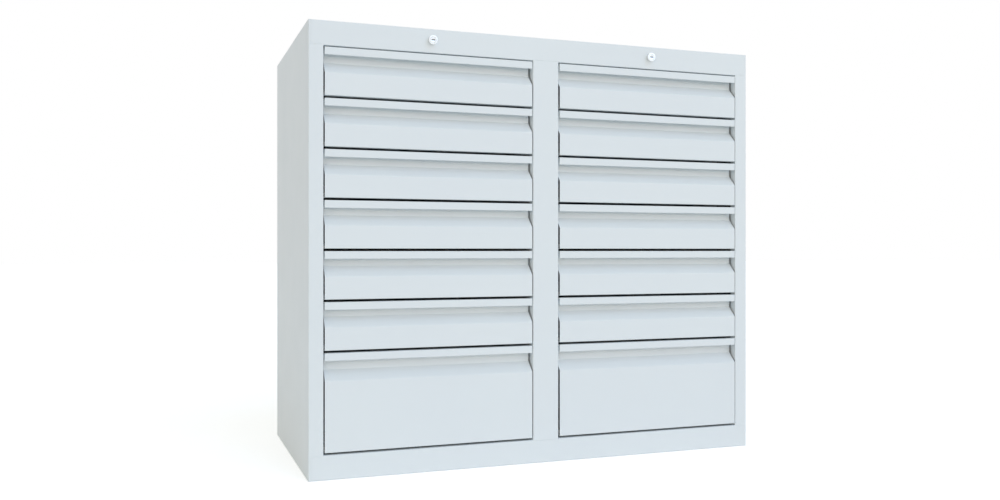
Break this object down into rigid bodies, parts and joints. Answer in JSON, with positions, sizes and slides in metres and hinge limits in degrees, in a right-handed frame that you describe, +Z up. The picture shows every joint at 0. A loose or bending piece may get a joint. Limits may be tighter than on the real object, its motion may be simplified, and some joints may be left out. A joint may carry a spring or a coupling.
{
  "type": "drawer cabinet",
  "caption": "Free-standing steel cabinet with stacked drawers in side-by-side columns, recessed full-width grips and a round central lock above each column.",
  "frame": {"origin": "centre of the underside, on the floor", "axes": "+X to the right as seen from the front, +Y to the back, +Z up; the drawers open towards -Y"},
  "size_m": [1, 0.508, 0.9],
  "materials": {
    "cabinet_coat": "satin",
    "drawer_coat": "satin",
    "zinc_steel": "zinc plated",
    "lock_nickel": "nickel plated"
  },
  "bodies": {
    "cabinet": {"left_side_panel": "cabinet_coat", "right_side_panel": "cabinet_coat", "top_panel": "cabinet_coat", "base_panel": "cabinet_coat", "back_panel": "cabinet_coat", "center_partition": "cabinet_coat", "side_uprights": "zinc_steel", "lock_housings": "lock_nickel", "lock_nuts": "lock_nickel", "lock_guides": "zinc_steel", "left_column_slides": "zinc_steel", "right_column_slides": "zinc_steel"},
    "left_lock": {"left_lock_plug": "lock_nickel", "left_lock_rod": "zinc_steel"},
    "left_bar": {"left_lock_bar": "zinc_steel"},
    "left_drawer_1": {"left_drawer_1_front": "drawer_coat", "left_drawer_1_tray": "drawer_coat", "left_drawer_1_slides": "zinc_steel"},
    "left_drawer_2": {"left_drawer_2_front": "drawer_coat", "left_drawer_2_tray": "drawer_coat", "left_drawer_2_slides": "zinc_steel"},
    "left_drawer_3": {"left_drawer_3_front": "drawer_coat", "left_drawer_3_tray": "drawer_coat", "left_drawer_3_slides": "zinc_steel"},
    "left_drawer_4": {"left_drawer_4_front": "drawer_coat", "left_drawer_4_tray": "drawer_coat", "left_drawer_4_slides": "zinc_steel"},
    "left_drawer_5": {"left_drawer_5_front": "drawer_coat", "left_drawer_5_tray": "drawer_coat", "left_drawer_5_slides": "zinc_steel"},
    "left_drawer_6": {"left_drawer_6_front": "drawer_coat", "left_drawer_6_tray": "drawer_coat", "left_drawer_6_slides": "zinc_steel"},
    "left_drawer_7": {"left_drawer_7_front": "drawer_coat", "left_drawer_7_tray": "drawer_coat", "left_drawer_7_slides": "zinc_steel"},
    "right_lock": {"right_lock_plug": "lock_nickel", "right_lock_rod": "zinc_steel"},
    "right_bar": {"right_lock_bar": "zinc_steel"},
    "right_drawer_1": {"right_drawer_1_front": "drawer_coat", "right_drawer_1_tray": "drawer_coat", "right_drawer_1_slides": "zinc_steel"},
    "right_drawer_2": {"right_drawer_2_front": "drawer_coat", "right_drawer_2_tray": "drawer_coat", "right_drawer_2_slides": "zinc_steel"},
    "right_drawer_3": {"right_drawer_3_front": "drawer_coat", "right_drawer_3_tray": "drawer_coat", "right_drawer_3_slides": "zinc_steel"},
    "right_drawer_4": {"right_drawer_4_front": "drawer_coat", "right_drawer_4_tray": "drawer_coat", "right_drawer_4_slides": "zinc_steel"},
    "right_drawer_5": {"right_drawer_5_front": "drawer_coat", "right_drawer_5_tray": "drawer_coat", "right_drawer_5_slides": "zinc_steel"},
    "right_drawer_6": {"right_drawer_6_front": "drawer_coat", "right_drawer_6_tray": "drawer_coat", "right_drawer_6_slides": "zinc_steel"},
    "right_drawer_7": {"right_drawer_7_front": "drawer_coat", "right_drawer_7_tray": "drawer_coat", "right_drawer_7_slides": "zinc_steel"}
  },
  "joints": [
    {"name": "left_lock_turn", "type": "hinge", "parent": "cabinet", "child": "left_lock", "pos_m": [-0.25, -0.25, 0.8765], "axis": [0, 1, 0], "range_deg": [0, 90]},
    {"name": "left_bar_lift", "type": "slide", "parent": "cabinet", "child": "left_bar", "axis": [0, 0, 1], "range_m": [0, 0.008]},
    {"name": "left_drawer_1_slide", "type": "slide", "parent": "cabinet", "child": "left_drawer_1", "axis": [0, -1, 0], "range_m": [0, 0.3]},
    {"name": "left_drawer_2_slide", "type": "slide", "parent": "cabinet", "child": "left_drawer_2", "axis": [0, -1, 0], "range_m": [0, 0.3]},
    {"name": "left_drawer_3_slide", "type": "slide", "parent": "cabinet", "child": "left_drawer_3", "axis": [0, -1, 0], "range_m": [0, 0.3]},
    {"name": "left_drawer_4_slide", "type": "slide", "parent": "cabinet", "child": "left_drawer_4", "axis": [0, -1, 0], "range_m": [0, 0.3]},
    {"name": "left_drawer_5_slide", "type": "slide", "parent": "cabinet", "child": "left_drawer_5", "axis": [0, -1, 0], "range_m": [0, 0.3]},
    {"name": "left_drawer_6_slide", "type": "slide", "parent": "cabinet", "child": "left_drawer_6", "axis": [0, -1, 0], "range_m": [0, 0.3]},
    {"name": "left_drawer_7_slide", "type": "slide", "parent": "cabinet", "child": "left_drawer_7", "axis": [0, -1, 0], "range_m": [0, 0.3]},
    {"name": "right_lock_turn", "type": "hinge", "parent": "cabinet", "child": "right_lock", "pos_m": [0.25, -0.25, 0.8765], "axis": [0, 1, 0], "range_deg": [0, 90]},
    {"name": "right_bar_lift", "type": "slide", "parent": "cabinet", "child": "right_bar", "axis": [0, 0, 1], "range_m": [0, 0.008]},
    {"name": "right_drawer_1_slide", "type": "slide", "parent": "cabinet", "child": "right_drawer_1", "axis": [0, -1, 0], "range_m": [0, 0.3]},
    {"name": "right_drawer_2_slide", "type": "slide", "parent": "cabinet", "child": "right_drawer_2", "axis": [0, -1, 0], "range_m": [0, 0.3]},
    {"name": "right_drawer_3_slide", "type": "slide", "parent": "cabinet", "child": "right_drawer_3", "axis": [0, -1, 0], "range_m": [0, 0.3]},
    {"name": "right_drawer_4_slide", "type": "slide", "parent": "cabinet", "child": "right_drawer_4", "axis": [0, -1, 0], "range_m": [0, 0.3]},
    {"name": "right_drawer_5_slide", "type": "slide", "parent": "cabinet", "child": "right_drawer_5", "axis": [0, -1, 0], "range_m": [0, 0.3]},
    {"name": "right_drawer_6_slide", "type": "slide", "parent": "cabinet", "child": "right_drawer_6", "axis": [0, -1, 0], "range_m": [0, 0.3]},
    {"name": "right_drawer_7_slide", "type": "slide", "parent": "cabinet", "child": "right_drawer_7", "axis": [0, -1, 0], "range_m": [0, 0.3]}
  ],
  "couplings": [
    {"joint": "left_lock_turn", "follows": "left_bar_lift", "rad_per_m": 196.35},
    {"joint": "right_lock_turn", "follows": "right_bar_lift", "rad_per_m": 196.35}
  ]
}
